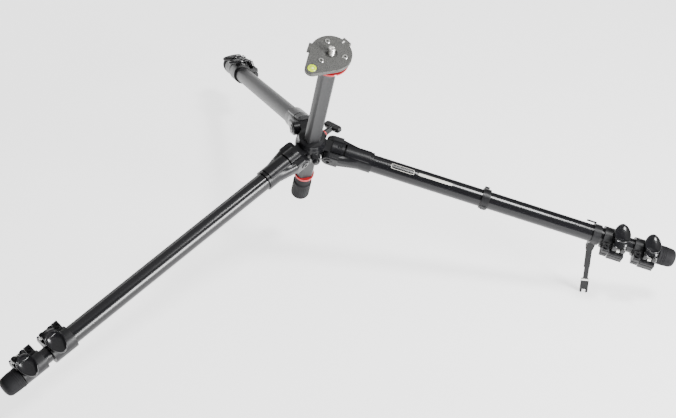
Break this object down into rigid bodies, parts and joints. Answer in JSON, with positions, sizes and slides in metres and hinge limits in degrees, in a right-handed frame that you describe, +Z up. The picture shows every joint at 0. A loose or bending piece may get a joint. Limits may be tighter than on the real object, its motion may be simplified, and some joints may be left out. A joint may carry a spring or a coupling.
{
  "type": "camera tripod",
  "caption": "Tripod with sliding three-section legs, flip-lever locks, a keyed centre column with a wing-knob lock, and a round head plate with a level and a camera-head screw.",
  "frame": {"origin": "centre of the overall box, on the floor plane under the three feet", "axes": "+Z up from the floor, +Y towards the rear leg, +X across the two front feet; the column leans towards -Y"},
  "size_m": [0.977, 0.7864, 0.4323],
  "materials": {
    "black_casting": "gloss black painted die casting",
    "black_tube": "gloss black anodised tube",
    "column_tube": "satin dark grey anodised tube",
    "grey_plate": "speckled mid-grey powder coat",
    "black_plastic": "fine moulded texture",
    "lever_plastic": "gloss black moulding",
    "red_plastic": "satin red moulding",
    "rubber": "dark grey rubber",
    "steel": "plated steel",
    "dark_steel": "blackened steel",
    "level_glass": "yellow-green liquid under a clear dome",
    "glide_plastic": "natural nylon",
    "column_head": "satin dark grey paint"
  },
  "bodies": {
    "spider": {"spider": "black_casting", "column_bush": "black_plastic", "pivot_bolts": "dark_steel", "lock_pad": "glide_plastic"},
    "column": {"column_tube": "column_tube", "column_head": "column_head", "head_ring": "red_plastic", "head_plate": "grey_plate", "head_screw": "steel", "set_screws": "steel", "level_vial": "level_glass"},
    "column_end_ring": {"column_end_ring": "red_plastic"},
    "column_end_knob": {"column_end_knob": "rubber"},
    "lock_stud": {"lock_stud": "steel"},
    "lock_knob": {"lock_knob": "black_plastic", "lock_knob_collar": "red_plastic"},
    "spanner": {"spanner": "dark_steel"},
    "leg_left": {"leg_casting_left": "black_casting", "upper_tube_left": "black_tube", "upper_lock_left": "black_plastic", "upper_lock_bolts_left": "steel"},
    "middle_left": {"middle_tube_left": "black_tube", "middle_glide_left": "glide_plastic", "lower_lock_left": "black_plastic", "lower_lock_bolts_left": "steel"},
    "lower_left": {"lower_tube_left": "black_tube", "lower_glide_left": "glide_plastic", "foot_left": "rubber"},
    "angle_tab_left": {"angle_tab_left": "lever_plastic"},
    "upper_lever_left": {"upper_lever_left": "lever_plastic"},
    "lower_lever_left": {"lower_lever_left": "lever_plastic"},
    "leg_right": {"leg_casting_right": "black_casting", "upper_tube_right": "black_tube", "upper_lock_right": "black_plastic", "upper_lock_bolts_right": "steel", "tool_clips": "black_plastic"},
    "middle_right": {"middle_tube_right": "black_tube", "middle_glide_right": "glide_plastic", "lower_lock_right": "black_plastic", "lower_lock_bolts_right": "steel"},
    "lower_right": {"lower_tube_right": "black_tube", "lower_glide_right": "glide_plastic", "foot_right": "rubber"},
    "angle_tab_right": {"angle_tab_right": "lever_plastic"},
    "upper_lever_right": {"upper_lever_right": "lever_plastic"},
    "lower_lever_right": {"lower_lever_right": "lever_plastic"},
    "leg_rear": {"leg_casting_rear": "black_casting", "upper_tube_rear": "black_tube", "upper_lock_rear": "black_plastic", "upper_lock_bolts_rear": "steel"},
    "middle_rear": {"middle_tube_rear": "black_tube", "middle_glide_rear": "glide_plastic", "lower_lock_rear": "black_plastic", "lower_lock_bolts_rear": "steel"},
    "lower_rear": {"lower_tube_rear": "black_tube", "lower_glide_rear": "glide_plastic", "foot_rear": "rubber"},
    "angle_tab_rear": {"angle_tab_rear": "lever_plastic"},
    "upper_lever_rear": {"upper_lever_rear": "lever_plastic"},
    "lower_lever_rear": {"lower_lever_rear": "lever_plastic"}
  },
  "joints": [
    {"name": "leg_spread_left", "type": "hinge", "parent": "spider", "child": "leg_left", "pos_m": [-0.02702, -0.15532, 0.21122], "axis": [-0.5, 0.7734, 0.3897], "range_deg": [-85, 0]},
    {"name": "middle_slide_left", "type": "slide", "parent": "leg_left", "child": "middle_left", "axis": [-0.8655, -0.4305, -0.2561], "range_m": [0, 0.3696]},
    {"name": "lower_slide_left", "type": "slide", "parent": "middle_left", "child": "lower_left", "axis": [-0.8655, -0.4305, -0.2561], "range_m": [0, 0.413]},
    {"name": "angle_tab_left", "type": "slide", "parent": "leg_left", "child": "angle_tab_left", "axis": [-0.8655, -0.4305, -0.2561], "range_m": [0, 0.0022], "stiffness_N_per_m": 600, "springref_m": -0.001},
    {"name": "upper_lever_left", "type": "hinge", "parent": "leg_left", "child": "upper_lever_left", "pos_m": [-0.4189, -0.33357, 0.1148], "axis": [-0.8655, -0.4305, -0.2561], "range_deg": [0, 105]},
    {"name": "lower_lever_left", "type": "hinge", "parent": "middle_left", "child": "lower_lever_left", "pos_m": [-0.45892, -0.35553, 0.10188], "axis": [-0.8655, -0.4305, -0.2561], "range_deg": [0, 105]},
    {"name": "leg_spread_right", "type": "hinge", "parent": "spider", "child": "leg_right", "pos_m": [0.02702, -0.15532, 0.21122], "axis": [-0.5, -0.7734, -0.3897], "range_deg": [-85, 0]},
    {"name": "middle_slide_right", "type": "slide", "parent": "leg_right", "child": "middle_right", "axis": [0.8655, -0.4305, -0.2561], "range_m": [0, 0.3696]},
    {"name": "lower_slide_right", "type": "slide", "parent": "middle_right", "child": "lower_right", "axis": [0.8655, -0.4305, -0.2561], "range_m": [0, 0.413]},
    {"name": "angle_tab_right", "type": "slide", "parent": "leg_right", "child": "angle_tab_right", "axis": [0.8655, -0.4305, -0.2561], "range_m": [0, 0.0022], "stiffness_N_per_m": 600, "springref_m": -0.001},
    {"name": "upper_lever_right", "type": "hinge", "parent": "leg_right", "child": "upper_lever_right", "pos_m": [0.3984, -0.36528, 0.09882], "axis": [0.8655, -0.4305, -0.2561], "range_deg": [0, 105]},
    {"name": "lower_lever_right", "type": "hinge", "parent": "middle_right", "child": "lower_lever_right", "pos_m": [0.44042, -0.38414, 0.08746], "axis": [0.8655, -0.4305, -0.2561], "range_deg": [0, 105]},
    {"name": "leg_spread_rear", "type": "hinge", "parent": "spider", "child": "leg_rear", "pos_m": [0, -0.11352, 0.23228], "axis": [1, 0, 0], "range_deg": [-43, 42]},
    {"name": "middle_slide_rear", "type": "slide", "parent": "leg_rear", "child": "middle_rear", "axis": [0, 0.955, -0.2966], "range_m": [0, 0.3696]},
    {"name": "lower_slide_rear", "type": "slide", "parent": "middle_rear", "child": "lower_rear", "axis": [0, 0.955, -0.2966], "range_m": [0, 0.413]},
    {"name": "angle_tab_rear", "type": "slide", "parent": "leg_rear", "child": "angle_tab_rear", "axis": [0, 0.955, -0.2966], "range_m": [0, 0.0022], "stiffness_N_per_m": 600, "springref_m": -0.001},
    {"name": "upper_lever_rear", "type": "hinge", "parent": "leg_rear", "child": "upper_lever_rear", "pos_m": [0.0205, 0.31007, 0.11067], "axis": [0, 0.955, -0.2966], "range_deg": [0, 105]},
    {"name": "lower_lever_rear", "type": "hinge", "parent": "middle_rear", "child": "lower_lever_rear", "pos_m": [0.0185, 0.35533, 0.09661], "axis": [0, 0.955, -0.2966], "range_deg": [0, 105]},
    {"name": "column_slide", "type": "slide", "parent": "spider", "child": "column", "axis": [0, -0.45, 0.893], "range_m": [-0.167, 0.068]},
    {"name": "lock_stud_slide", "type": "slide", "parent": "spider", "child": "lock_stud", "axis": [0.866, 0.4465, 0.225], "range_m": [0, 0.0025]},
    {"name": "lock_knob_turn", "type": "hinge", "parent": "lock_stud", "child": "lock_knob", "pos_m": [0.03551, -0.12308, 0.22747], "axis": [0.866, 0.4465, 0.225], "range_deg": [0, 727.2]},
    {"name": "end_ring_slide", "type": "slide", "parent": "column", "child": "column_end_ring", "axis": [0, 0.45, -0.893], "range_m": [0, 0.006]},
    {"name": "end_knob_turn", "type": "hinge", "parent": "column_end_ring", "child": "column_end_knob", "pos_m": [0, -0.07883, 0.09411], "axis": [0, 0.45, -0.893], "range_deg": [0, 1454.4]},
    {"name": "spanner_swing", "type": "hinge", "parent": "leg_right", "child": "spanner", "pos_m": [0.37313, -0.32748, 0.084], "axis": [-0.4454, -0.8953, 0], "range_deg": [-105, 60]}
  ],
  "couplings": [
    {"joint": "lock_knob_turn", "follows": "lock_stud_slide", "rad_per_m": 5026.5},
    {"joint": "end_knob_turn", "follows": "end_ring_slide", "rad_per_m": 4188.8}
  ]
}
